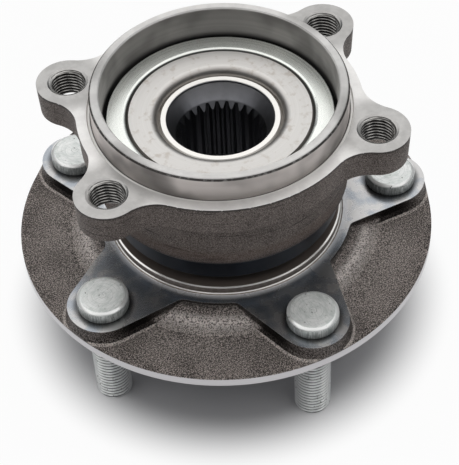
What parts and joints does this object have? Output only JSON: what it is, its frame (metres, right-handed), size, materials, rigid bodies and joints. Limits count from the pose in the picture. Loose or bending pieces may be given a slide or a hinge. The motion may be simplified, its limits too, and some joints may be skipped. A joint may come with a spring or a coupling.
{
  "type": "wheel hub bearing",
  "caption": "Driven wheel hub bearing: lobed wheel flange with pressed-in studs, splined bore, and an outer ring with an eared knuckle flange and spigot.",
  "frame": {"origin": "on the bearing axis, in the plane of the stud ends that the part stands on", "axes": "+Z along the bearing axis from the wheel side to the knuckle side, +X along the long side of the rectangle of knuckle bolt holes"},
  "size_m": [0.1388, 0.1388, 0.0975],
  "materials": {
    "hub_steel": "dark forged scale with turned bright faces",
    "ring_steel": "dark forged scale with turned bright faces",
    "bearing_steel": "fine turned and ground",
    "ball_steel": "polished",
    "plated_sheet": "zinc plated pressed sheet",
    "stud_zinc": "pale zinc plating",
    "seal_rubber": "matt moulded rubber",
    "cage_plastic": "natural glass filled nylon"
  },
  "bodies": {
    "knuckle_side": {"outer_ring": "ring_steel", "inboard_seal_case": "plated_sheet", "inboard_seal_lip": "seal_rubber", "outboard_seal_case": "plated_sheet", "outboard_seal_lip": "seal_rubber"},
    "wheel_side": {"wheel_hub": "hub_steel", "inner_ring": "bearing_steel", "slinger": "plated_sheet", "wheel_stud_1": "stud_zinc", "wheel_stud_2": "stud_zinc", "wheel_stud_3": "stud_zinc", "wheel_stud_4": "stud_zinc", "wheel_stud_5": "stud_zinc"},
    "inboard_ball_row": {"inboard_cage": "cage_plastic", "inboard_ball_01": "ball_steel", "inboard_ball_02": "ball_steel", "inboard_ball_03": "ball_steel", "inboard_ball_04": "ball_steel", "inboard_ball_05": "ball_steel", "inboard_ball_06": "ball_steel", "inboard_ball_07": "ball_steel", "inboard_ball_08": "ball_steel", "inboard_ball_09": "ball_steel", "inboard_ball_10": "ball_steel", "inboard_ball_11": "ball_steel", "inboard_ball_12": "ball_steel", "inboard_ball_13": "ball_steel", "inboard_ball_14": "ball_steel"},
    "outboard_ball_row": {"outboard_cage": "cage_plastic", "outboard_ball_01": "ball_steel", "outboard_ball_02": "ball_steel", "outboard_ball_03": "ball_steel", "outboard_ball_04": "ball_steel", "outboard_ball_05": "ball_steel", "outboard_ball_06": "ball_steel", "outboard_ball_07": "ball_steel", "outboard_ball_08": "ball_steel", "outboard_ball_09": "ball_steel", "outboard_ball_10": "ball_steel", "outboard_ball_11": "ball_steel", "outboard_ball_12": "ball_steel", "outboard_ball_13": "ball_steel", "outboard_ball_14": "ball_steel"}
  },
  "joints": [
    {"name": "hub_spin", "type": "hinge", "parent": "knuckle_side", "child": "wheel_side", "pos_m": [0, 0, 0.06836], "axis": [0, 0, 1], "continuous": true},
    {"name": "inboard_cage_spin", "type": "hinge", "parent": "knuckle_side", "child": "inboard_ball_row", "pos_m": [0, 0, 0.07436], "axis": [0, 0, 1], "continuous": true},
    {"name": "outboard_cage_spin", "type": "hinge", "parent": "knuckle_side", "child": "outboard_ball_row", "pos_m": [0, 0, 0.06236], "axis": [0, 0, 1], "continuous": true}
  ],
  "couplings": [
    {"joint": "inboard_cage_spin", "follows": "hub_spin", "ratio": 0.4309},
    {"joint": "outboard_cage_spin", "follows": "hub_spin", "ratio": 0.4309}
  ]
}
